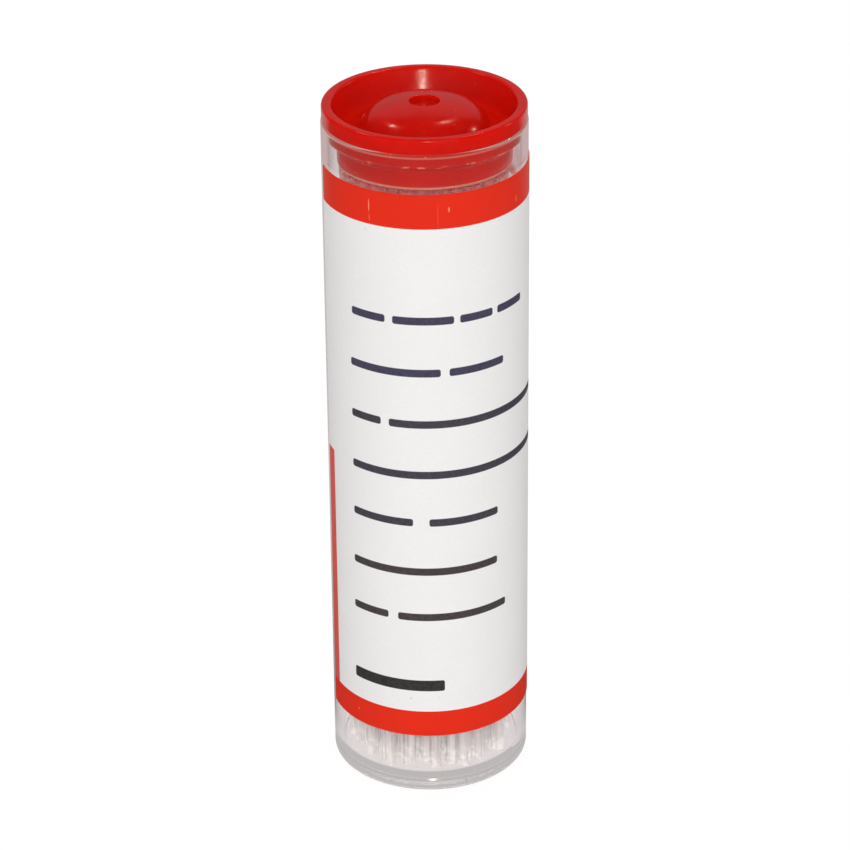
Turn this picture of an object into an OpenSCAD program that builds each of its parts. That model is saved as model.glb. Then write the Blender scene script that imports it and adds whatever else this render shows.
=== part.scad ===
// Stoppered vial of glass capillary tubes, standing upright on its base.
// The vial's axis is Z, its foot ring stands on z = 0, and the front of the label faces -Y.
// Angles round the axis are counted anticlockwise seen from above, so the front is at 270 degrees.

/* [Capillary tubes] */
// Outside diameter of one tube
tube_od = 1.55; // [1.4:0.05:1.7]
// Bore of one tube
tube_id = 1.15; // [0.8:0.05:1.2]
// Length of one tube
tube_l = 75; // [60:1:100]
// Most tubes that are put into one vial
tubes_max = 100; // [20:1:100]
// Least gap between the sides of neighbouring tubes
tube_gap = 0.02; // [0.01:0.01:0.1]
// Angle that the tops of the tubes are turned from their feet, which makes them lean
bundle_twist = 12; // [0:1:18]

/* [Vial] */
// Outside diameter of the vial
vial_od = 23.8; // [22.5:0.1:30]
// Thickness of the side wall at the mouth
vial_wall = 0.9; // [0.6:0.05:1.1]
// How much thicker the side wall is at the floor
wall_draft = 0.2; // [0:0.05:0.3]
// Thickness of the floor
floor_t = 2.5; // [1.5:0.1:4]
// Radius of the fillet round the inside of the floor
floor_fillet = 0.3; // [0.1:0.05:0.4]
// Radius of the outer edge of the base
base_round = 0.8; // [0.3:0.1:1.2]
// Width of the foot ring that the vial stands on
foot_w = 2.6; // [1.5:0.1:4]
// Depth of the recess inside the foot ring
foot_recess = 0.35; // [0.1:0.05:0.8]
// Radius of the gate mark in the recess
gate_r = 0.9; // [0.4:0.1:1.5]
// Radius of the lip's outer edge
lip_round = 0.25; // [0.1:0.05:0.3]
// Lead-in chamfer inside the lip
lip_chamfer = 0.2; // [0.1:0.05:0.3]

/* [Stopper] */
// Free height between the tubes and the stopper
head_gap = 1.4; // [0.5:0.1:8]
// Depth of the plug below the lip
plug_depth = 5.1; // [4.5:0.1:8]
// Height of the rim above the lip
rim_h = 1.7; // [1.2:0.1:2.5]
// Thickness of the stopper's wall
plug_wall = 1.1; // [0.8:0.05:1.2]
// How far the flange stays inside the vial's outer surface
flange_inset = 0.15; // [0:0.05:0.3]
// Width of the rim at its top
rim_w = 1.2; // [0.9:0.05:1.5]
// Radial clearance of the sealing bead in the mouth
seal_clearance = 0.04; // [0.02:0.01:0.08]
// Height of the sealing bead
bead_h = 0.9; // [0.5:0.1:1.4]
// Radial gap between the plug's skirt and the mouth
skirt_gap = 0.9; // [0.4:0.05:1.1]
// Radius of the dome at the foot of its shoulder
dome_r = 7.7; // [6.8:0.1:7.8]
// How far the dome stands above the rim
dome_rise = 0.15; // [0:0.05:0.6]
// Radius of curvature of the dome's crown
crown_r = 19.6; // [14:0.2:30]
// Radius of the dome's shoulder
shoulder_r = 4; // [2.5:0.1:4.5]
// Draft of the dome's side in degrees
dome_draft = 9; // [3:1:12]
// Radius of the pit in the crown
pit_r = 1.75; // [1:0.05:2.5]
// Depth of the pit
pit_depth = 0.8; // [0.3:0.05:1.2]
// Thickness of the pit's floor
pit_floor = 0.9; // [0.6:0.05:1.2]

/* [Label] */
// Thickness of the label's paper
paper_t = 0.1; // [0.08:0.01:0.2]
// Bare height of vial below the label
label_low = 8.15; // [4:0.05:12]
// Bare height of vial above the label
label_drop = 4.8; // [2:0.1:10]
// Angle from the front of the label to its left edge
label_left = 76; // [60:1:100]
// Width of the bare strip between the label's two edges
window_w = 10.4; // [4:0.1:20]
// Height of the red band at the top
top_band_h = 4.2; // [2:0.1:8]
// Height of the red band at the bottom
low_band_h = 3.45; // [2:0.05:8]
// Width of the red strip along the left edge
strip_w = 1.9; // [1:0.1:4]
// Height of the red strip above the bottom band
strip_h = 30.8; // [10:0.1:40]

/* [Hidden] */
$fn = 96;

front = 270;
golden_angle = 137.507764;

// The vial, from the floor up to the lip
vial_r = vial_od / 2;
bore_r = vial_r - vial_wall;
floor_bore_r = bore_r - wall_draft;
lip_z = floor_t + tube_l + head_gap + plug_depth;
land_h = plug_depth + 2;
gate_h = foot_recess * 0.6;

// The stopper, with heights from the lip
flange_r = vial_r - flange_inset;
bead_r = bore_r - seal_clearance;
skirt_r = bore_r - skirt_gap;
rim_in_r = flange_r - rim_w;
rim_out_round = 0.35;
rim_in_round = 0.45;
plug_round = 0.6;
bead_taper = skirt_gap - seal_clearance;
cup_r = skirt_r - plug_wall;
knee_z = -bead_h - bead_taper;
knee_r = cup_r + 0.1;
groove_z = -plug_depth + plug_wall;
crown_z = rim_h + dome_rise;
side_a = 90 - dome_draft;
shoulder_x = dome_r - shoulder_r * sin(side_a);
shoulder_z = crown_z - crown_r + sqrt(pow(crown_r - shoulder_r, 2) - pow(shoulder_x, 2));
crown_a = asin(shoulder_x / (crown_r - shoulder_r));
side_z = shoulder_z + shoulder_r * cos(side_a);
groove_dome_r = dome_r + (side_z - groove_z) * tan(dome_draft);
groove_round = (cup_r - groove_dome_r) / 2;
pit_edge_z = crown_z - crown_r + sqrt(pow(crown_r, 2) - pow(pit_r, 2));
pit_z = crown_z - pit_depth;
nub_r = 0.4;
nub_h = 0.15;

// The bundle: a sunflower spiral, whose nearest neighbours at a pitch of 1 are spiral_gap apart
spiral_start = 1.5;
spiral_gap = 1.64;
wall_gap = 0.03;
bundle_r = floor_bore_r - floor_fillet - tube_od / 2 - wall_gap;
least_pitch = (tube_od + tube_gap) / spiral_gap / cos(bundle_twist / 2);
tubes_that_fit = floor(pow(bundle_r / least_pitch, 2) - spiral_start + 1);
tube_count = min(tubes_max, tubes_that_fit);
pitch = bundle_r / sqrt(tube_count - 1 + spiral_start);

// The label
label_z = lip_z - label_drop;
paper_r = vial_r + paper_t;
window_a = window_w / paper_r * 180 / PI;
label_a = 360 - window_a;
strip_a = strip_w / paper_r * 180 / PI;
label_start = front - label_left;

// Points along an arc from angle a0 to a1, at most 6 degrees apart
function arc(x, z, r, a0, a1) =
    let (steps = max(3, ceil(abs(a1 - a0) / 6)))
    [for (i = [0 : steps]) let (a = a0 + (a1 - a0) * i / steps) [x + r * cos(a), z + r * sin(a)]];

// Clear moulded vial: foot ring, thick floor, drafted bore and a parallel land at the mouth
module vial() {
    foot_in_r = vial_r - base_round - foot_w;
    color([0.86, 0.89, 0.92, 0.35])
        rotate_extrude()
            polygon(concat(
                [[0, foot_recess - gate_h],
                 [gate_r, foot_recess - gate_h],
                 [gate_r, foot_recess],
                 [foot_in_r - foot_recess, foot_recess],
                 [foot_in_r, 0]],
                arc(vial_r - base_round, base_round, base_round, -90, 0),
                arc(vial_r - lip_round, lip_z - lip_round, lip_round, 0, 90),
                [[bore_r + lip_chamfer, lip_z],
                 [bore_r, lip_z - lip_chamfer],
                 [bore_r, lip_z - land_h]],
                arc(floor_bore_r - floor_fillet, floor_t + floor_fillet, floor_fillet, 0, -90),
                [[0, floor_t]]
            ));
}

// One-piece moulded stopper: rolled rim, flange, sealing bead, plug skirt, ring groove and hollow dome
module stopper() {
    inner_side_r = dome_r + (side_z + plug_depth) * tan(dome_draft) - plug_wall / cos(dome_draft);
    boss_r = pit_r + pit_floor;
    boss_z = pit_z - pit_floor;
    // Height of the dome's underside where the boss meets it
    boss_top_z = crown_z - crown_r + sqrt(pow(crown_r - plug_wall, 2) - pow(boss_r, 2));
    color([0.78, 0.07, 0.05])
        translate([0, 0, lip_z])
            rotate_extrude()
                polygon(concat(
                    // Underside of the dome, from the boss under the pit out to the plug's bottom
                    [[0, boss_z],
                     [boss_r, boss_z],
                     [boss_r, boss_top_z]],
                    arc(0, crown_z - crown_r, crown_r - plug_wall,
                        acos(boss_r / (crown_r - plug_wall)), 90 - crown_a),
                    arc(shoulder_x, shoulder_z, shoulder_r - plug_wall, 90 - crown_a, 90 - side_a),
                    [[inner_side_r, -plug_depth]],
                    // Outside of the plug, up over the sealing bead to the flange
                    arc(skirt_r - plug_round, -plug_depth + plug_round, plug_round, -90, 0),
                    [[skirt_r, knee_z],
                     [bead_r, -bead_h],
                     [bead_r, 0],
                     [flange_r, 0]],
                    // Over the rim and down the flared inside to the groove
                    arc(flange_r - rim_out_round, rim_h - rim_out_round, rim_out_round, 0, 90),
                    arc(rim_in_r + rim_in_round, rim_h - rim_in_round, rim_in_round, 90, 170),
                    [[knee_r, knee_z]],
                    arc(cup_r - groove_round, groove_z + groove_round, groove_round, 0, -180 + dome_draft),
                    // Up the dome's side, over its shoulder and crown to the pit
                    arc(shoulder_x, shoulder_z, shoulder_r, 90 - side_a, 90 - crown_a),
                    arc(0, crown_z - crown_r, crown_r, 90 - crown_a, acos(pit_r / crown_r)),
                    [[pit_r, pit_z],
                     [nub_r, pit_z],
                     [nub_r * 0.5, pit_z + nub_h],
                     [0, pit_z + nub_h]]
                ));
}

// Field of the label's sheet between two heights, from its left edge round through an angle
module field(z0, z1, sweep_a) {
    rotate([0, 0, label_start])
        rotate_extrude(angle = sweep_a)
            translate([vial_r, z0])
                square([paper_t, z1 - z0]);
}

// Printed red fields: a band along the top, one along the bottom, and a strip up the left edge
module red_fields() {
    low_z = label_low + low_band_h;
    field(label_low, low_z, label_a);
    field(label_z - top_band_h, label_z, label_a);
    field(low_z, low_z + strip_h, strip_a);
}

// Paper label, one sheet wrapped round the vial with a bare strip left between its edges
module label() {
    color([0.89, 0.18, 0.1])
        red_fields();
    color([0.95, 0.95, 0.94])
        difference() {
            field(label_low, label_z, label_a);
            red_fields();
        }
}

// One glass tube standing on the vial's floor, tipped so that the edge of its foot touches
module capillary_tube(i) {
    r = pitch * sqrt(i + spiral_start);
    a = golden_angle * i;
    lean = asin(2 * r * sin(bundle_twist / 2) / tube_l);
    translate([r * cos(a), r * sin(a), floor_t + tube_od / 2 * sin(lean)])
        rotate([0, lean, a + 90 + bundle_twist / 2])
            linear_extrude(tube_l)
                difference() {
                    circle(d = tube_od);
                    circle(d = tube_id);
                }
}

// Loose bundle of tubes, separate from each other and from the vial
module capillary_tubes() {
    color([0.9, 0.93, 0.96, 0.6])
        for (i = [0 : tube_count - 1])
            capillary_tube(i);
}

vial();
stopper();
label();
capillary_tubes();
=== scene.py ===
"""Stoppered vial of glass capillary tubes, dressed for a plain white studio.

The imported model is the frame. Four detailed pieces stand for its four nodes and keep their form:
the clear moulded vial, the red push-in stopper, the wrapped paper label and the bundle of tubes.
"""

import math

import bpy
import numpy as np
from mathutils import Matrix, Vector


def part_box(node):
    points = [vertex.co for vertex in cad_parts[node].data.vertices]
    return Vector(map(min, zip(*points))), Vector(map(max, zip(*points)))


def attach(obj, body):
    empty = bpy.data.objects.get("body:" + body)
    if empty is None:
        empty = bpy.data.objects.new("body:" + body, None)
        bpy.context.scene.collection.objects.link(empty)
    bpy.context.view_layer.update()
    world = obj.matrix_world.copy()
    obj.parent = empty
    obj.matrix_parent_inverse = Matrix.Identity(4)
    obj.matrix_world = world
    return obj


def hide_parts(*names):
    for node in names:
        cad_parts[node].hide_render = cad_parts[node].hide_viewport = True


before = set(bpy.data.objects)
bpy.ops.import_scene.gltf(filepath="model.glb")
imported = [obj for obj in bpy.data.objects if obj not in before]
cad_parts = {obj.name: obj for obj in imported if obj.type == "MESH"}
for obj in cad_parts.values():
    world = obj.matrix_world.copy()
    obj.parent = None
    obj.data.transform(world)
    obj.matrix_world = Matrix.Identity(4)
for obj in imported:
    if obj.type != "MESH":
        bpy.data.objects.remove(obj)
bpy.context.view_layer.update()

MM = 0.001

# ---------------------------------------------------------------- sizes, in millimetres

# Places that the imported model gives
label_low, label_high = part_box("label")
LIP_Z = round(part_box("vial")[1].z / MM, 3)
LABEL_Z0 = round(label_low.z / MM, 3)
LABEL_Z1 = round(label_high.z / MM, 3)

# Vial
VIAL_R = 11.9
BORE_R = 11.0
FLOOR_BORE_R = 10.8
FLOOR_T = 2.5
FLOOR_FILLET = 0.3
BASE_ROUND = 0.8
FOOT_W = 2.6
FOOT_RECESS = 0.35
GATE_R = 0.9
GATE_H = 0.21
# A shallow seam just above the foot: the wall leans in along an arc of SEAM_R about a point at height SEAM_Z,
# from SEAM_LOW_A to SEAM_HIGH_A degrees above level, and steps back out over SEAM_TOP
SEAM_Z = -0.05
SEAM_R = 3.2
SEAM_LOW_A = 29.0
SEAM_HIGH_A = 36.5
SEAM_TOP = 0.06
LIP_ROUND = 0.55
LIP_CHAMFER = 0.2
LAND_H = 7.1
VIAL_EASE = 0.08

# Stopper, with heights from the lip
PLUG_DEPTH = 5.1
RIM_H = 1.7
PLUG_WALL = 1.1
FLANGE_R = 11.8
# The flange's flat underside ends FLANGE_LAND inside its edge, and from there dips by FLANGE_EDGE to the edge
FLANGE_LAND = 0.34
FLANGE_EDGE = 0.14
RIM_IN_R = 10.55
RIM_OUT_ROUND = 0.35
RIM_IN_ROUND = 0.45
RIM_IN_END_A = 170.0
BEAD_R = 10.96
BEAD_H = 1.8
CUP_BEND = 1.76
CUP_BEND_OUT = 0.1
SKIRT_R = 10.1
PLUG_ROUND = 0.6
DOME_R = 7.7
CROWN_Z = 1.85
CROWN_R = 19.6
SHOULDER_R = 4.0
DOME_DRAFT = 9.0
PIT_R = 1.75
PIT_DEPTH = 0.8
PIT_FLOOR = 0.9
NUB_R = 0.4
NUB_H = 0.15
NUB_TOP_SHARE = 0.5
STOPPER_EASE = 0.12

# Label, an unrolled sheet whose U runs from its left edge and whose V is the height
PAPER_T = 0.1
GLUE_GAP = 0.004
LABEL_START = 194.0
WINDOW_W = 10.4
TOP_BAND_H = 4.2
LOW_BAND_H = 3.45
STRIP_W = 1.9
STRIP_H = 31.9
LABEL_COLUMNS = 240
LABEL_ROWS = 25

# Tubes, standing on a sunflower spiral
TUBES = 100
TUBE_R = 0.775
TUBE_BORE_R = 0.575
TUBE_L = 75.0
BUNDLE_R = 9.695
BUNDLE_TWIST = 12.0
SPIRAL_START = 1.5
GOLDEN_ANGLE = 137.507764
TUBE_SIDES = 12
SHADE_STEP = 0.61803399

# Fineness of outlines and surfaces
ARC_STEP_A = 5.0
ARC_STEP = 0.5
CORNER_A = 18.0
CORNER_SHARE = 0.4
LONG_SIDE = 0.6
HOLD = 0.08
ROUND_STEPS = 256
MOULDED_SHARP_A = 30.0
PAPER_SHARP_A = 40.0
TUBE_SHARP_A = 50.0


# ---------------------------------------------------------------- outlines and surfaces

def arc(x, z, r, a0, a1):
    """Points (x + r cos a, z + r sin a) from angle a0 to a1 in degrees.

    They are at most ARC_STEP_A degrees and ARC_STEP millimetres apart.
    """
    sweep = abs(a1 - a0)
    steps = max(3, math.ceil(sweep / ARC_STEP_A), math.ceil(math.radians(sweep) * r / ARC_STEP))
    a = np.radians(np.linspace(a0, a1, steps + 1))
    return np.stack([x + r * np.cos(a), z + r * np.sin(a)], axis=1)


def soften(outline, reach):
    """The outline with each corner that turns by more than CORNER_A degrees eased.

    A quadratic curve runs from reach before the corner to reach after it, pulled towards the corner.
    Reach is never more than CORNER_SHARE of the shorter side.
    """
    corner = outline[1:-1]
    before = corner - outline[:-2]
    after = outline[2:] - corner
    before_l = np.linalg.norm(before, axis=1)
    after_l = np.linalg.norm(after, axis=1)
    cross = before[:, 0] * after[:, 1] - before[:, 1] * after[:, 0]
    turn = np.abs(np.arctan2(cross, (before * after).sum(axis=1)))
    room = CORNER_SHARE * np.minimum(before_l, after_l)
    pull = np.where(turn > math.radians(CORNER_A), np.minimum(reach, room), 0)
    start = corner - before * (pull / before_l)[:, None]
    end = corner + after * (pull / after_l)[:, None]
    t = np.linspace(0, 1, 5)[None, :, None]
    eased = (1 - t) ** 2 * start[:, None] + 2 * t * (1 - t) * corner[:, None] + t ** 2 * end[:, None]
    points = np.concatenate([outline[:1], eased.reshape(-1, 2), outline[-1:]])
    moved = np.linalg.norm(np.diff(points, axis=0), axis=1) > 1e-5
    return points[np.concatenate([[True], moved])]


def hold(outline, reach):
    """The outline with a point added at reach from both ends of each straight stretch over LONG_SIDE.

    These keep the roundings at its ends out of its shading.
    """
    side = np.diff(outline, axis=0)
    length = np.linalg.norm(side, axis=1)
    straight = np.flatnonzero(length > LONG_SIDE)
    inset = side[straight] * (reach / length[straight])[:, None]
    held = np.stack([outline[straight] + inset, outline[straight + 1] - inset], axis=1)
    return np.insert(outline, np.repeat(straight + 1, 2), held.reshape(-1, 2), axis=0)


def new_mesh(name, points, faces, sharp_angle):
    """A smooth-shaded piece from points in millimetres, with edges over sharp_angle degrees kept sharp."""
    mesh = bpy.data.meshes.new(name)
    mesh.from_pydata((points * MM).tolist(), [], faces)
    mesh.polygons.foreach_set("use_smooth", np.ones(len(mesh.polygons), bool))
    mesh.set_sharp_from_angle(angle=math.radians(sharp_angle))
    mesh.validate()
    piece = bpy.data.objects.new(name, mesh)
    bpy.context.scene.collection.objects.link(piece)
    return piece


def grid_faces(rows, columns, wrap):
    """Quads of a grid of points, row by row, whose columns close on themselves if wrap is true."""
    i = np.arange(rows - 1)[:, None]
    j = np.arange(columns if wrap else columns - 1)[None, :]
    k = (j + 1) % columns
    quads = [i * columns + j, i * columns + k, (i + 1) * columns + k, (i + 1) * columns + j]
    return np.stack(np.broadcast_arrays(*quads), axis=-1).reshape(-1, 4)


def revolve(name, outline, sharp_angle):
    """Surface of revolution about Z.

    A point is (r cos a, r sin a, z), with (r, z) along the outline and a once round.
    The outline starts and ends on the axis, where a fan of triangles closes the surface.
    """
    a = np.linspace(0, 2 * math.pi, ROUND_STEPS, endpoint=False)
    r, z = outline[1:-1].T
    ring = np.stack([np.outer(r, np.cos(a)), np.outer(r, np.sin(a)), np.outer(z, np.ones_like(a))], axis=-1)
    poles = np.array([[0, 0, outline[0, 1]], [0, 0, outline[-1, 1]]])
    points = np.concatenate([ring.reshape(-1, 3), poles])
    j = np.arange(ROUND_STEPS)
    k = (j + 1) % ROUND_STEPS
    last = (len(r) - 1) * ROUND_STEPS
    first_fan = np.stack([np.full_like(j, len(points) - 2), k, j], axis=1)
    last_fan = np.stack([np.full_like(j, len(points) - 1), last + j, last + k], axis=1)
    faces = grid_faces(len(r), ROUND_STEPS, True).tolist() + first_fan.tolist() + last_fan.tolist()
    return new_mesh(name, points, faces, sharp_angle)


def vial_outline():
    """Half section of the clear vial, as straight stretches and arcs.

    It runs from the middle of the underside out over the foot, up to the lip and down the bore to the floor.
    """
    foot_in_r = VIAL_R - BASE_ROUND - FOOT_W
    seam_centre_r = VIAL_R - SEAM_R * math.cos(math.radians(SEAM_LOW_A))
    seam = arc(seam_centre_r, SEAM_Z, SEAM_R, SEAM_LOW_A, SEAM_HIGH_A)
    outline = np.concatenate([
        [[0, FOOT_RECESS - GATE_H], [GATE_R, FOOT_RECESS - GATE_H], [GATE_R, FOOT_RECESS],
         [foot_in_r - FOOT_RECESS, FOOT_RECESS], [foot_in_r, 0]],
        arc(VIAL_R - BASE_ROUND, BASE_ROUND, BASE_ROUND, -90, 0),
        seam, [[VIAL_R, seam[-1, 1] + SEAM_TOP]],
        arc(VIAL_R - LIP_ROUND, LIP_Z - LIP_ROUND, LIP_ROUND, 0, 90),
        [[BORE_R + LIP_CHAMFER, LIP_Z], [BORE_R, LIP_Z - LIP_CHAMFER], [BORE_R, LIP_Z - LAND_H]],
        arc(FLOOR_BORE_R - FLOOR_FILLET, FLOOR_T + FLOOR_FILLET, FLOOR_FILLET, 0, -90),
        [[0, FLOOR_T]],
    ])
    return hold(soften(outline, VIAL_EASE), HOLD)


def stopper_outline():
    """Half section of the stopper, as straight stretches and arcs.

    It runs from the middle of the dome's underside round the plug, the flange and the rim to the pit.
    """
    side_a = 90 - DOME_DRAFT
    draft = math.radians(DOME_DRAFT)
    shoulder_x = DOME_R - SHOULDER_R * math.sin(math.radians(side_a))
    crown_c = CROWN_Z - CROWN_R
    shoulder_z = crown_c + math.sqrt((CROWN_R - SHOULDER_R) ** 2 - shoulder_x ** 2)
    crown_a = math.degrees(math.asin(shoulder_x / (CROWN_R - SHOULDER_R)))
    side_z = shoulder_z + SHOULDER_R * math.cos(math.radians(side_a))
    cup_r = SKIRT_R - PLUG_WALL
    knee_z = -BEAD_H - (BEAD_R - SKIRT_R)
    groove_z = PLUG_WALL - PLUG_DEPTH
    groove_dome_r = DOME_R + (side_z - groove_z) * math.tan(draft)
    groove_round = (cup_r - groove_dome_r) / 2
    inner_side_r = DOME_R + (side_z + PLUG_DEPTH) * math.tan(draft) - PLUG_WALL / math.cos(draft)
    boss_r = PIT_R + PIT_FLOOR
    pit_z = CROWN_Z - PIT_DEPTH
    under_r = CROWN_R - PLUG_WALL
    boss_a = math.degrees(math.acos(boss_r / under_r))
    outline = np.concatenate([
        [[0, pit_z - PIT_FLOOR], [boss_r, pit_z - PIT_FLOOR],
         [boss_r, crown_c + math.sqrt(under_r ** 2 - boss_r ** 2)]],
        arc(0, crown_c, under_r, boss_a, 90 - crown_a),
        arc(shoulder_x, shoulder_z, SHOULDER_R - PLUG_WALL, 90 - crown_a, 90 - side_a),
        [[inner_side_r, -PLUG_DEPTH]],
        arc(SKIRT_R - PLUG_ROUND, -PLUG_DEPTH + PLUG_ROUND, PLUG_ROUND, -90, 0),
        [[SKIRT_R, knee_z], [BEAD_R, -BEAD_H], [BEAD_R, 0]],
        [[FLANGE_R - FLANGE_LAND, 0], [FLANGE_R, -FLANGE_EDGE]],
        arc(FLANGE_R - RIM_OUT_ROUND, RIM_H - RIM_OUT_ROUND, RIM_OUT_ROUND, 0, 90),
        arc(RIM_IN_R + RIM_IN_ROUND, RIM_H - RIM_IN_ROUND, RIM_IN_ROUND, 90, RIM_IN_END_A),
        [[cup_r + CUP_BEND_OUT, -CUP_BEND]],
        arc(cup_r - groove_round, groove_z + groove_round, groove_round, 0, DOME_DRAFT - 180),
        arc(shoulder_x, shoulder_z, SHOULDER_R, 90 - side_a, 90 - crown_a),
        arc(0, crown_c, CROWN_R, 90 - crown_a, math.degrees(math.acos(PIT_R / CROWN_R))),
        [[PIT_R, pit_z], [NUB_R, pit_z], [NUB_R * NUB_TOP_SHARE, pit_z + NUB_H], [0, pit_z + NUB_H]],
    ])
    distinct = np.concatenate([[True], np.linalg.norm(np.diff(outline, axis=0), axis=1) > 1e-6])
    return hold(soften(outline[distinct], STOPPER_EASE), HOLD) + [0, LIP_Z]


def wrap_label(name):
    """Paper sheet wrapped round the vial, with its two edges left apart.

    A thin upright rectangle, the paper's section, is carried along an arc about Z and closed at both ends.
    The map printed_sheet gives each corner its distance from the left edge and its height in millimetres,
    and the attribute outer_face is 1 on the outside of the paper and 0 on the glued side.
    """
    inner_r, outer_r = VIAL_R + GLUE_GAP, VIAL_R + PAPER_T
    along = np.radians(np.linspace(0, 360 - math.degrees(WINDOW_W / outer_r), LABEL_COLUMNS))
    a = math.radians(LABEL_START) + along
    z = np.linspace(LABEL_Z0, LABEL_Z1, LABEL_ROWS)
    section_r = np.concatenate([np.full_like(z, outer_r), np.full_like(z, inner_r)])
    section_z = np.concatenate([z, z[::-1]])
    rows = len(section_z)
    ring_r, ring_z = section_r[None, :], section_z[None, :]
    x, y = ring_r * np.cos(a)[:, None], ring_r * np.sin(a)[:, None]
    points = np.stack([x, y, np.broadcast_to(ring_z, x.shape)], axis=-1)
    wrapped = grid_faces(LABEL_COLUMNS, rows, True)[:, ::-1]
    half = rows // 2
    i = np.arange(half - 1)
    left_end = np.stack([i, i + 1, rows - 2 - i, rows - 1 - i], axis=1)
    right_end = left_end[:, ::-1] + (LABEL_COLUMNS - 1) * rows
    faces = np.concatenate([wrapped, left_end, right_end])
    piece = new_mesh(name, points.reshape(-1, 3), faces.tolist(), PAPER_SHARP_A)
    mesh = piece.data
    u = np.broadcast_to((along * outer_r)[:, None], x.shape)
    sheet = np.stack([u, np.broadcast_to(ring_z, x.shape)], axis=-1).reshape(-1, 2)
    outer = np.broadcast_to(ring_r == outer_r, x.shape).reshape(-1).astype(np.float32)
    corner = np.zeros(len(mesh.loops), np.int32)
    mesh.loops.foreach_get("vertex_index", corner)
    mesh.uv_layers.new(name="printed_sheet").data.foreach_set("uv", sheet[corner].astype(np.float32).ravel())
    mesh.attributes.new("outer_face", "FLOAT", "POINT").data.foreach_set("value", outer)
    return piece


def stand_tubes(name):
    """The bundle of open glass tubes.

    Tube i stands at radius pitch times the square root of i plus a start, at i golden angles.
    It leans along its circle so that its top is turned from its foot by the bundle's twist.
    A tube is four rings of points: outer foot, outer top, bore top and bore foot, joined in a loop.
    """
    i = np.arange(TUBES)
    pitch = BUNDLE_R / math.sqrt(TUBES - 1 + SPIRAL_START)
    r = pitch * np.sqrt(i + SPIRAL_START)
    a = np.radians(GOLDEN_ANGLE * i)
    lean = np.arcsin(2 * r * math.sin(math.radians(BUNDLE_TWIST / 2)) / TUBE_L)
    turn = a + math.radians(90 + BUNDLE_TWIST / 2)
    foot = np.stack([r * np.cos(a), r * np.sin(a), FLOOR_T + TUBE_R * np.sin(lean)], axis=1)
    side = np.stack([np.cos(turn) * np.cos(lean), np.sin(turn) * np.cos(lean), -np.sin(lean)], axis=1)
    across = np.stack([-np.sin(turn), np.cos(turn), 0 * turn], axis=1)
    axis = np.stack([np.cos(turn) * np.sin(lean), np.sin(turn) * np.sin(lean), np.cos(lean)], axis=1)
    s = np.linspace(0, 2 * math.pi, TUBE_SIDES, endpoint=False)[None, None, :, None]
    ring_r = np.array([TUBE_R, TUBE_R, TUBE_BORE_R, TUBE_BORE_R])[None, :, None, None]
    ring_l = np.array([0, TUBE_L, TUBE_L, 0])[None, :, None, None]
    circle = np.cos(s) * side[:, None, None] + np.sin(s) * across[:, None, None]
    points = foot[:, None, None] + ring_l * axis[:, None, None] + ring_r * circle
    ring = np.arange(4)[:, None]
    j = np.arange(TUBE_SIDES)[None, :]
    k, up = (j + 1) % TUBE_SIDES, (ring + 1) % 4
    loop = [ring * TUBE_SIDES + j, ring * TUBE_SIDES + k, up * TUBE_SIDES + k, up * TUBE_SIDES + j]
    one = np.stack(np.broadcast_arrays(*loop), axis=-1).reshape(-1, 4)
    faces = (one[None] + (i * 4 * TUBE_SIDES)[:, None, None]).reshape(-1, 4)
    piece = new_mesh(name, points.reshape(-1, 3), faces.tolist(), TUBE_SHARP_A)
    own = np.repeat(np.modf(i * SHADE_STEP)[0], 4 * TUBE_SIDES).astype(np.float32)
    piece.data.attributes.new("own_shade", "FLOAT", "POINT").data.foreach_set("value", own)
    return piece


# ---------------------------------------------------------------- shader helpers

class Wire:
    """One output of a shader node. Arithmetic on it adds Math nodes."""

    def __init__(self, shader, socket):
        self.shader = shader
        self.socket = socket

    def math(self, operation, *values):
        """The result of a Math node with these values on its inputs, in order."""
        return self.shader.node("ShaderNodeMath", {"operation": operation}, dict(enumerate(values)))

    def __add__(self, other):
        return self.math("ADD", self, other)

    def __sub__(self, other):
        return self.math("SUBTRACT", self, other)

    def __rsub__(self, other):
        return self.math("SUBTRACT", other, self)

    def __mul__(self, other):
        return self.math("MULTIPLY", self, other)

    def __truediv__(self, other):
        return self.math("DIVIDE", self, other)

    def __rtruediv__(self, other):
        return self.math("DIVIDE", other, self)

    def __pow__(self, other):
        return self.math("POWER", self, other)

    def __abs__(self):
        return self.math("ABSOLUTE", self)

    __radd__ = __add__
    __rmul__ = __mul__

    def at_least(self, other):
        """The larger of the two."""
        return self.math("MAXIMUM", self, other)

    def at_most(self, other):
        """The smaller of the two."""
        return self.math("MINIMUM", self, other)

    def step(self, low, high):
        """0 below low, 1 above high and a smooth rise between them, or the reverse if low is the larger."""
        if low > high:
            return 1 - self.step(high, low)
        sockets = {"Value": self, "From Min": low, "From Max": high}
        return self.shader.node("ShaderNodeMapRange", {"interpolation_type": "SMOOTHSTEP"}, sockets)

    def between(self, low, full_low, full_high, high):
        """0 outside low and high, 1 from full_low to full_high, with smooth slopes between them."""
        return self.step(low, full_low) * self.step(high, full_high)


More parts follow.
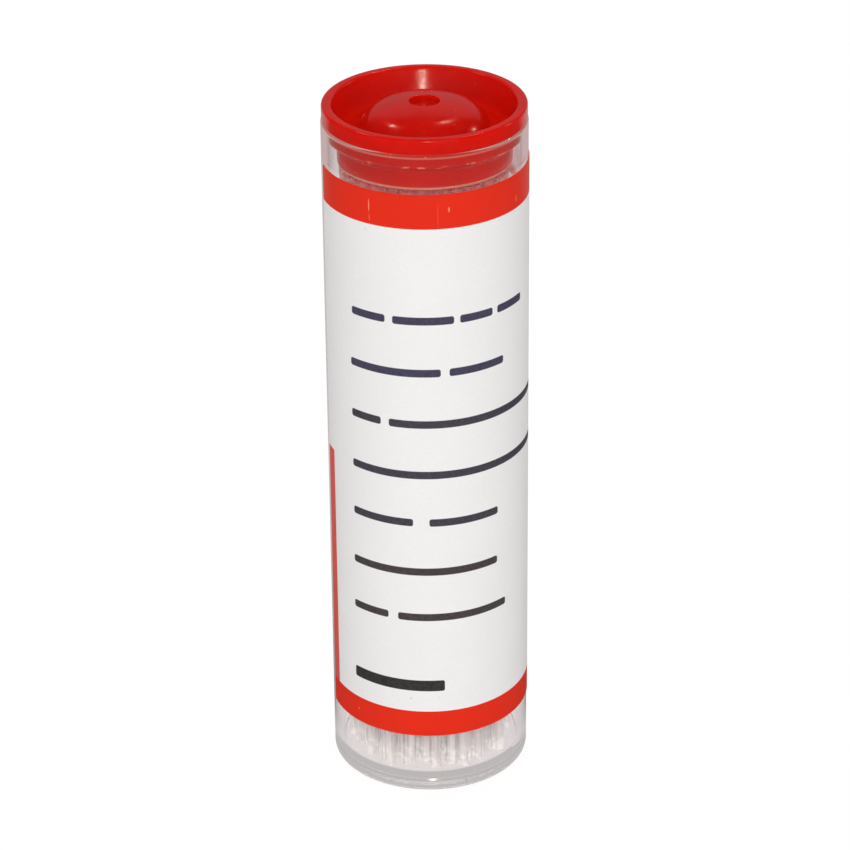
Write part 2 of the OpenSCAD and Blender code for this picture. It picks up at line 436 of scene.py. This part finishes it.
class Shader:
    """The node tree of a material or of the world."""

    def __init__(self, owner):
        owner.use_nodes = True
        self.tree = owner.node_tree
        self.tree.nodes.clear()

    def node(self, kind, settings=None, sockets=None, out=0):
        """Adds a node, sets it up, gives its sockets their values or links, and returns one output."""
        made = self.tree.nodes.new(kind)
        for name, value in (settings or {}).items():
            setattr(made, name, value)
        for name, value in (sockets or {}).items():
            socket = made.inputs[name]
            if isinstance(value, Wire):
                self.tree.links.new(value.socket, socket)
            else:
                socket.default_value = value
        return Wire(self, made.outputs[out]) if len(made.outputs) else None

    def mix(self, factor, a, b):
        """Colour a where the factor is 0 and b where it is 1."""
        return self.node("ShaderNodeMix", {"data_type": "RGBA"}, {0: factor, 6: a, 7: b}, out=2)

    def parts(self, where):
        """The x, y and z of a place or direction."""
        return [self.node("ShaderNodeSeparateXYZ", None, {0: where}, out=axis) for axis in "XYZ"]

    def path(self, name):
        """What the Light Path node says about the ray under this name."""
        return self.node("ShaderNodeLightPath", out=name)

    def place(self):
        """Object coordinates, in metres."""
        return self.node("ShaderNodeTexCoord", out="Object")

    def noise(self, where, size, detail=3.0, stretch=(1, 1, 1)):
        """Noise from 0 to 1 with features about size millimetres across, stretched along each axis."""
        scaled = self.node("ShaderNodeMapping", None, {"Vector": where, "Scale": [1 / s for s in stretch]})
        sockets = {"Vector": scaled, "Scale": 1 / (size * MM), "Detail": detail}
        return self.node("ShaderNodeTexNoise", None, sockets)

    def bump(self, height, distance, strength=1.0):
        """A normal from a height of 0 to 1, as deep as distance in millimetres."""
        sockets = {"Height": height, "Distance": distance * MM, "Strength": strength}
        return self.node("ShaderNodeBump", None, sockets)

    def output(self, surface):
        """Ends the tree with this surface."""
        self.node("ShaderNodeOutputMaterial", None, {"Surface": surface})


def new_material(name):
    """An empty material and its shader."""
    material = bpy.data.materials.new(name)
    return material, Shader(material)


def from_axis(x, y):
    """Distance of (x, y) from the Z axis, in millimetres."""
    return (x * x + y * y) ** 0.5 / MM


def linear(red, green, blue):
    """A colour given in display values from 0 to 255 as linear light."""
    c = np.array([red, green, blue]) / 255
    return (*np.where(c <= 0.04045, c / 12.92, ((c + 0.055) / 1.055) ** 2.4).tolist(), 1.0)


# ---------------------------------------------------------------- materials

NO_GLOW = (0, 0, 0, 1)
LIP_GLOW = (0.13, 0.1, 0.07, 1)
GROOVE_GLOW = (0.13, 0.003, 0.001, 1)
GLOSSY_LIMIT = 3

# Thin lines round the mouth and the plug, painted highlights: heights from the lip where each begins, is
# full, and ends
LIP_LINE = (-0.65, -0.5, -0.42, -0.28)
PLUG_EDGE_LINE = (-5.0, -4.85, -4.65, -4.5)
KNEE_LINE = (-2.1, -1.95, -1.8, -1.65)

# Heights of the duller foot: the seam and what is below it, and what is below the seam alone
DULL_TOP = 1.9
DULLER_TOP = 1.4


def let_light_through(s, glass, tint, deepest, pale):
    """Ends the material: glass to the eye, and plain see-through for light to or from a dull surface.

    A path that is deepest bounces long, or has GLOSSY_LIMIT mirrorings, ends in pale.
    That is the mean light which it would pick up after many more bounces.
    """
    bounced = s.path("Ray Depth").step(deepest - 0.6, deepest - 0.4)
    deep = bounced.at_least(s.path("Glossy Depth").step(GLOSSY_LIMIT - 0.6, GLOSSY_LIMIT - 0.4))
    lit = s.path("Is Shadow Ray").at_least(s.path("Is Diffuse Ray"))
    clear = s.node("ShaderNodeBsdfTransparent", None, {"Color": tint})
    seen = s.node("ShaderNodeMixShader", None, {0: deep, 1: glass, 2: pale})
    s.output(s.node("ShaderNodeMixShader", None, {0: lit, 1: seen, 2: clear}))


def clear_plastic():
    """Clear polystyrene with handling scuffs. Lamps shine through it.

    A thin pale line glows round the lip as a painted highlight, and the seam and the foot below it are
    duller.
    Deep paths end in a pale tone, with painted red light near the stopper.
    """
    material, s = new_material("clear_plastic")
    where = s.place()
    scuffs = s.noise(where, 1.4, 6.0, (1, 1, 4))
    wear_and_lip_glint = s.noise(where, 9.0, 2.0)
    x, y, z = s.parts(where)
    height = z / MM
    # Painted red light from the stopper, near the mouth, for the tone where deep paths end
    thrown_red_light = height.step(LIP_Z - 10.0, LIP_Z - 4.0)
    outer = from_axis(x, y).step(VIAL_R - 0.6, VIAL_R - 0.4)
    # Painted highlight: a thin pale line that glows round the lip, broken up by the wear noise
    lip = height.between(*(LIP_Z + edge for edge in LIP_LINE)) * outer * (0.5 + wear_and_lip_glint)
    dull = height.step(DULL_TOP + 0.15, DULL_TOP) * 0.1
    duller = height.step(DULLER_TOP + 0.1, DULLER_TOP) * 0.09
    foot = (dull + duller) * outer
    body = s.node("ShaderNodeBsdfPrincipled", None, {
        "Base Color": s.mix(wear_and_lip_glint, linear(254, 252, 252), linear(252, 249, 250)),
        "Roughness": 0.025 + scuffs.step(0.55, 0.8) * wear_and_lip_glint * 0.10 + foot, "IOR": 1.59,
        "Transmission Weight": 1.0, "Normal": s.bump(scuffs, 0.004, 0.35),
        "Emission Color": s.mix(lip, NO_GLOW, LIP_GLOW), "Emission Strength": 1.0})
    # Painted light: the pale tone where deep paths end, red near the stopper
    deep_tone = s.mix(thrown_red_light, (0.52, 0.5, 0.5, 1), (0.48, 0.2, 0.19, 1))
    pale = s.node("ShaderNodeEmission", None, {"Color": deep_tone})
    let_light_through(s, body, (0.95, 0.95, 0.95, 1), 7, pale)
    return material


def red_plastic():
    """Glossy moulded red polyethylene with slight flow marks and fine rubs.

    The plug's low edge and the knee of its bead are painted paler as highlights, and the ring groove has a
    painted glow against its shade.
    """
    material, s = new_material("red_plastic")
    where = s.place()
    x, y, z = s.parts(where)
    radius = from_axis(x, y)
    height = z / MM - LIP_Z
    flow = s.noise(where, 6.0, 3.0)
    rub_and_edge_glint = s.noise(where, 0.5, 5.0, (1, 3, 1))
    patchy = s.noise(where, 1.1, 4.0)
    colour = s.mix(flow.step(0.3, 0.7), linear(214, 13, 1), linear(206, 12, 1))
    outside = radius.step(SKIRT_R - 0.4, SKIRT_R - 0.25)
    # Painted highlights: a pale line along the plug's low edge, varied by the rub noise, and pale patches on
    # the knee of its bead
    low_edge = height.between(*PLUG_EDGE_LINE) * (0.45 + rub_and_edge_glint * 0.5)
    knee = height.between(*KNEE_LINE) * patchy.step(0.5, 0.62) * 0.55
    colour = s.mix(low_edge.at_least(knee) * outside, colour, linear(240, 178, 150))
    # Painted light: a faint red glow in the ring groove between the cup wall and the dome, against its shade
    groove = radius.between(DOME_R - 0.8, DOME_R + 0.5, SKIRT_R - 0.9, SKIRT_R - 0.1) * height.step(0.0, -2.5)
    roughness = 0.14 + flow * 0.05 + rub_and_edge_glint.step(0.6, 0.8) * 0.1 + patchy.step(0.45, 0.6) * 0.07
    normal = s.bump(flow * 0.5 + rub_and_edge_glint * 0.5, 0.03, 0.5)
    body = s.node("ShaderNodeBsdfPrincipled", None, {
        "Base Color": colour, "Roughness": roughness, "IOR": 1.5, "Normal": normal,
        "Emission Color": s.mix(groove, NO_GLOW, GROOVE_GLOW), "Emission Strength": 1.0,
        "Subsurface Weight": 0.6, "Subsurface Scale": 2.5 * MM, "Subsurface Radius": (1.0, 0.15, 0.1)})
    s.output(body)
    return material


# Plain bars in place of words, row by row: height of the row's middle, height of its bars, ink,
# and where each bar starts and ends along the sheet
TOP_INK = linear(52, 48, 78)
MIDDLE_INK = linear(52, 46, 62)
LOW_INK = linear(56, 46, 48)
BOLD_INK = linear(30, 24, 22)
PRINT_ROWS = [
    (63.6, 1.0, TOP_INK, [(6.4, 11.0), (11.9, 19.1), (19.8, 24.1), (24.8, 29.4)]),
    (57.0, 1.0, TOP_INK, [(6.1, 17.5), (18.5, 25.8)]),
    (50.4, 1.0, MIDDLE_INK, [(6.1, 10.3), (11.3, 38.4)]),
    (43.8, 1.0, MIDDLE_INK, [(6.1, 36.6)]),
    (37.5, 1.0, MIDDLE_INK, [(6.1, 14.1), (16.0, 24.9)]),
    (30.9, 1.0, LOW_INK, [(6.0, 24.8)]),
    (24.7, 1.0, LOW_INK, [(5.9, 10.9), (12.1, 26.2)]),
    (15.2, 1.5, BOLD_INK, [(5.8, 17.7)]),
]
BAR_ROUND = 0.3

# Small rubs in the bands and specks of ink above the low band: place along the sheet, height,
# half width, half height and strength
RUBS = [
    (9.2, 77.3, 0.10, 0.85, 0.7),
    (9.25, 75.8, 0.07, 0.5, 0.4),
    (18.57, 77.3, 0.13, 0.35, 0.8),
    (28.3, 76.2, 0.10, 0.5, 0.6),
    (17.3, 76.6, 0.04, 1.6, 0.25),
    (6.2, 9.9, 0.12, 0.16, 0.6),
    (13.6, 13.4, 0.13, 0.22, 0.5),
    (17.0, 13.6, 0.1, 0.12, 0.3),
    (8.7, 74.3, 0.25, 0.12, 0.35),
    (6.9, 12.6, 0.08, 0.3, 0.3),
]


def rubs(u, v):
    """Where the rubs and specks are, as soft ellipses on the sheet."""
    marks = None
    for at_u, at_v, half_u, half_v, strength in RUBS:
        spread = ((u - at_u) / half_u) ** 2.0 + ((v - at_v) / half_v) ** 2.0
        mark = spread.step(1.2, 0.3) * strength
        marks = mark if marks is None else marks.at_least(mark)
    return marks


def printed_paper():
    """Coated white paper with red fields, dark bars in place of words, paper grain, and small rubs.

    On its glued side the colour and a slight glow are painted light: the red showing through and the glow of
    thin paper with light behind it, both paler towards the top edge.
    """
    material, s = new_material("printed_paper")
    u, v, _ = s.parts(s.node("ShaderNodeUVMap", {"uv_map": "printed_sheet"}))
    outer = s.node("ShaderNodeAttribute", {"attribute_name": "outer_face"}, None, out="Fac").step(0.0, 0.1)
    where = s.place()
    grain = s.noise(where, 0.35, 4.0)
    cloud = s.noise(where, 5.0, 2.0)

    edge = 0.05
    low_band = v.step(LABEL_Z0 + LOW_BAND_H + edge, LABEL_Z0 + LOW_BAND_H - edge)
    top_band = v.step(LABEL_Z1 - TOP_BAND_H - edge, LABEL_Z1 - TOP_BAND_H + edge)
    strip_top = LABEL_Z0 + LOW_BAND_H + STRIP_H
    strip = u.step(STRIP_W + edge, STRIP_W - edge) * v.step(strip_top + edge, strip_top - edge)
    red = low_band.at_least(top_band).at_least(strip)

    bars = {}
    for height, tall, ink, ends in PRINT_ROWS:
        rise = (abs(v - height) - (tall / 2 - BAR_ROUND)).at_least(0)
        for start, end in ends:
            run = (abs(u - (start + end) / 2) - ((end - start) / 2 - BAR_ROUND)).at_least(0)
            bar = ((run * run + rise * rise) ** 0.5).step(BAR_ROUND + 0.03, BAR_ROUND - 0.05)
            bars[ink] = bars[ink].at_least(bar) if ink in bars else bar

    paper = s.mix(cloud, linear(242, 243, 244), linear(238, 239, 241))
    paper = s.mix(grain.step(0.3, 0.75) * 0.35, paper, linear(233, 233, 233))
    printed = s.mix(cloud, linear(236, 42, 14), linear(229, 38, 12))
    printed = s.mix(grain.step(0.62, 0.8) * 0.25, printed, linear(240, 80, 52))
    printed = s.mix(strip * (1 - low_band) * 0.4, printed, linear(216, 130, 118))
    # Painted light on the glued side: the red showing through the paper, paler near the top edge
    paler = v.step(LABEL_Z1 - 3.6, LABEL_Z1 - 2.3)
    shown_through = s.mix(paler, linear(214, 96, 84), linear(228, 204, 200))
    printed = s.mix(outer, shown_through, printed)
    colour = s.mix(red, paper, printed)
    for ink, bar in bars.items():
        colour = s.mix(bar * outer * (0.93 + grain * 0.07), colour, ink)
    colour = s.mix(rubs(u, v) * outer, colour, linear(247, 150, 120))
    # Painted glow on the glued side, for light coming through the thin paper, red behind the red fields and
    # paler near the top edge
    red_glow = s.mix(paler, (0.4, 0.07, 0.06, 1), (0.5, 0.44, 0.44, 1))
    glow = s.mix(red, (0.4, 0.39, 0.39, 1), red_glow)
    roughness = 0.42 + grain * 0.12 - red * 0.06
    normal = s.bump(grain * 0.5 + cloud * 0.5, 0.012, 0.4)
    body = s.node("ShaderNodeBsdfPrincipled", None, {
        "Base Color": colour, "Roughness": roughness, "Specular IOR Level": 0.2, "Normal": normal,
        "Emission Color": s.mix(outer, glow, NO_GLOW), "Emission Strength": 1.0})
    s.output(body)
    return material


def tube_glass():
    """Thin soda glass, each tube a little different, milky where many walls lie behind each other.

    The tops have painted red light, standing for the red that the closed stopper and the label's band throw
    on them, and the tint stays when the stopper is out. The feet have a painted glow with bright specks, for
    the light that tube ends show.
    """
    material, s = new_material("tube_glass")
    where = s.place()
    own = s.node("ShaderNodeAttribute", {"attribute_name": "own_shade"}, None, out="Fac")
    streak = s.noise(where, 0.3, 3.0, (1, 1, 40))
    height = s.parts(where)[2] / MM
    top = FLOOR_T + TUBE_L
    # Painted red light on the tops of the tubes, from the stopper and the label's band
    thrown_red_light = height.step(top - 5.5, top - 1.0)
    foot = height.step(FLOOR_T + 4.0, FLOOR_T)
    speck = s.noise(where, 0.8, 2.0).step(0.45, 0.7)
    streaked = streak.step(0.35, 0.65)
    glass = s.mix(streaked, linear(255, 254, 252), linear(222, 217, 215))
    # Painted glow at the feet, brighter in specks and different from tube to tube
    foot_glow = foot * (0.4 + own * 0.5 + speck * 1.2)
    body = s.node("ShaderNodeBsdfPrincipled", None, {
        "Base Color": s.mix(thrown_red_light * 0.4, glass, linear(250, 120, 118)),
        "Roughness": 0.03 + streak * 0.05, "IOR": 1.5, "Transmission Weight": 0.7,
        "Emission Color": s.mix(foot_glow, NO_GLOW, (0.8, 0.78, 0.78, 1)), "Emission Strength": 0.2})
    # Painted light where a path ends deep in the bundle: a pale streaked glow, red near the tops
    milky = s.mix(streaked, (0.56, 0.54, 0.53, 1), (0.95, 0.93, 0.92, 1))
    pale = s.node("ShaderNodeEmission", None, {"Color": s.mix(thrown_red_light, milky, linear(238, 100, 100))})
    let_light_through(s, body, (0.96, 0.96, 0.96, 1), 6, pale)
    return material


# ---------------------------------------------------------------- the object

vial = revolve("clear_vial", vial_outline(), MOULDED_SHARP_A)
vial.data.materials.append(clear_plastic())
stopper = revolve("red_stopper", stopper_outline(), MOULDED_SHARP_A)
stopper.data.materials.append(red_plastic())
label = wrap_label("paper_label")
label.data.materials.append(printed_paper())
tubes = stand_tubes("glass_tubes")
tubes.data.materials.append(tube_glass())

for piece, body, node, slot in [
        (vial, "vial", "vial", "clear_plastic"), (label, "vial", "label", "label_paper"),
        (tubes, "vial", "capillary_tubes", "tube_glass"), (stopper, "stopper", "stopper", "red_plastic")]:
    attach(piece, body)
    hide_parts(node)


# ---------------------------------------------------------------- studio

def ray_kinds(s):
    """Camera, mirrored and transmitted rays, each 1 for its own kind and 0 for the rest."""
    glass_ray = s.path("Is Transmission Ray")
    return s.path("Is Camera Ray"), s.path("Is Glossy Ray") * (1 - glass_ray), glass_ray


def paper_floor():
    """White studio floor with a soft shadow. Gloss and glass see it in greys, as cards would give."""
    material, s = new_material("studio_floor")
    camera_ray, mirrored, glass_ray = ray_kinds(s)
    where = s.place()
    x, y, _ = s.parts(where)
    grain = s.noise(where, 6.0, 4.0)
    lit = s.node("ShaderNodeBsdfPrincipled", None, {
        "Base Color": s.mix(grain, linear(240, 240, 240), linear(237, 237, 237)), "Roughness": 0.9,
        "Specular IOR Level": 0.1})
    behind = (y / MM).step(-80.0, 0.0)
    straight_behind = ((y - abs(x) * 0.8) / MM).step(-10.0, 60.0)
    reach = from_axis(x, y)
    under = reach.step(18.0, 12.0)
    sheen = s.mix(straight_behind.at_least(under), (0.09, 0.08, 0.07, 1), (0.5, 0.48, 0.48, 1))
    through = s.mix(behind, (0.36, 0.34, 0.34, 1), (0.78, 0.755, 0.745, 1))
    guided = s.path("Glossy Depth").at_most(1.0) * reach.step(60.0, 120.0)
    guided_tone = s.mix(straight_behind, (0.22, 0.19, 0.17, 1), (0.56, 0.44, 0.43, 1))
    through = s.mix(guided, through, guided_tone)
    tone = s.mix(camera_ray, s.mix(mirrored, through, sheen), (1, 1, 1, 1))
    plain = s.node("ShaderNodeEmission", None, {"Color": tone, "Strength": 1.06})
    part = camera_ray * 0.88 + mirrored + glass_ray
    s.output(s.node("ShaderNodeMixShader", None, {0: part.at_most(1.0), 1: lit, 2: plain}))
    return material


FLOOR_R = 4000.0
FLOOR_Z = -0.03
FLOOR_SIDES = 96


def disc(name, radius, z):
    """A flat round sheet facing up: points (r cos a, r sin a, z) joined to one in the middle."""
    a = np.linspace(0, 2 * math.pi, FLOOR_SIDES, endpoint=False)
    edge = np.stack([radius * np.cos(a), radius * np.sin(a), np.full_like(a, z)], axis=1)
    j = np.arange(FLOOR_SIDES)
    fan = np.stack([j, (j + 1) % FLOOR_SIDES, np.full_like(j, FLOOR_SIDES)], axis=1)
    return new_mesh(name, np.concatenate([edge, [[0, 0, z]]]), fan.tolist(), MOULDED_SHARP_A)


floor = disc("studio_floor", FLOOR_R, FLOOR_Z)
floor.data.materials.append(paper_floor())

# The surround is white to the camera, and in gloss, glass and dull light it has the greys of a studio's walls
world = bpy.data.worlds.new("studio")
bpy.context.scene.world = world
world.cycles.sampling_method = "NONE"
w = Shader(world)
camera_ray, mirrored, glass_ray = ray_kinds(w)
x, y, z = w.parts(w.node("ShaderNodeTexCoord", out="Generated"))
behind = y.step(-0.3, 0.4)
straight_behind = (y - abs(x) * 0.8).step(0.0, 0.4)
low = z.step(0.76, 0.64)
front = y.step(-0.3, -0.7)
back = y.step(0.55, 0.9)
sheen = 0.02 + straight_behind * low * 0.2
through = 0.34 + behind * 0.38
fill = 0.48 + front * 0.94 + back * 0.6
dull = 1 - mirrored - glass_ray
strength = camera_ray + (1 - camera_ray) * (sheen * mirrored + through * glass_ray + fill * dull)
background = w.node("ShaderNodeBackground", None, {"Color": (1, 1, 1, 1), "Strength": strength})
w.node("ShaderNodeOutputWorld", None, {"Surface": background})

LAMP_AIM = Vector((0, 0, 60))
LAMP_DISTANCE = 900.0
WARM = (1.0, 0.9, 0.72)
AMBER = (1.0, 0.75, 0.6)


def studio_lamp(name, azimuth, elevation, size, power, colour):
    """A round lamp of this size in millimetres and power in watts, LAMP_DISTANCE from LAMP_AIM and facing it.

    Azimuth is 0 at the front and 90 at the right, and elevation is the height above level, in degrees.
    """
    a, e = math.radians(azimuth), math.radians(elevation)
    away = Vector((math.sin(a) * math.cos(e), -math.cos(a) * math.cos(e), math.sin(e)))
    lamp = bpy.data.lights.new(name, "AREA")
    lamp.shape = "ELLIPSE"
    lamp.size = lamp.size_y = size * MM
    lamp.energy = power
    lamp.color = colour
    made = bpy.data.objects.new(name, lamp)
    bpy.context.scene.collection.objects.link(made)
    made.location = (LAMP_AIM + away * LAMP_DISTANCE) * MM
    made.rotation_euler = (-away).to_track_quat("-Z", "Y").to_euler()


studio_lamp("front_lamp", 2, 29, 96, 0.8, WARM)
studio_lamp("right_lamp", 110, 26, 90, 0.25, AMBER)
studio_lamp("left_high_lamp", -115, 56, 90, 0.4, AMBER)
studio_lamp("right_high_lamp", 149, 61, 90, 0.4, AMBER)

# ---------------------------------------------------------------- camera

LOOK_AT = Vector((0, 0, 44.26))
CAMERA_DISTANCE = 409.9
CAMERA_PITCH = math.radians(27.16)
CAMERA_ROLL = math.radians(-0.60)
CAMERA_SIDE = -0.305
CAMERA_LENS = 145.57
CAMERA_SENSOR = 36
forward = Vector((0, math.cos(CAMERA_PITCH), -math.sin(CAMERA_PITCH)))
level = Vector((1, 0, 0))
upright = Vector((0, math.sin(CAMERA_PITCH), math.cos(CAMERA_PITCH)))
right = level * math.cos(CAMERA_ROLL) + upright * math.sin(CAMERA_ROLL)
up = upright * math.cos(CAMERA_ROLL) - level * math.sin(CAMERA_ROLL)
lens = bpy.data.cameras.new("studio_camera")
lens.lens = CAMERA_LENS
lens.sensor_width = CAMERA_SENSOR
lens.clip_start, lens.clip_end = 0.01, 20
camera = bpy.data.objects.new("studio_camera", lens)
bpy.context.scene.collection.objects.link(camera)
stands_at = LOOK_AT - forward * CAMERA_DISTANCE + level * CAMERA_SIDE
turned = Matrix((right, up, -forward)).transposed().to_4x4()
camera.matrix_world = Matrix.Translation(stands_at * MM) @ turned
bpy.context.scene.camera = camera
bpy.context.scene.view_settings.view_transform = "Standard"
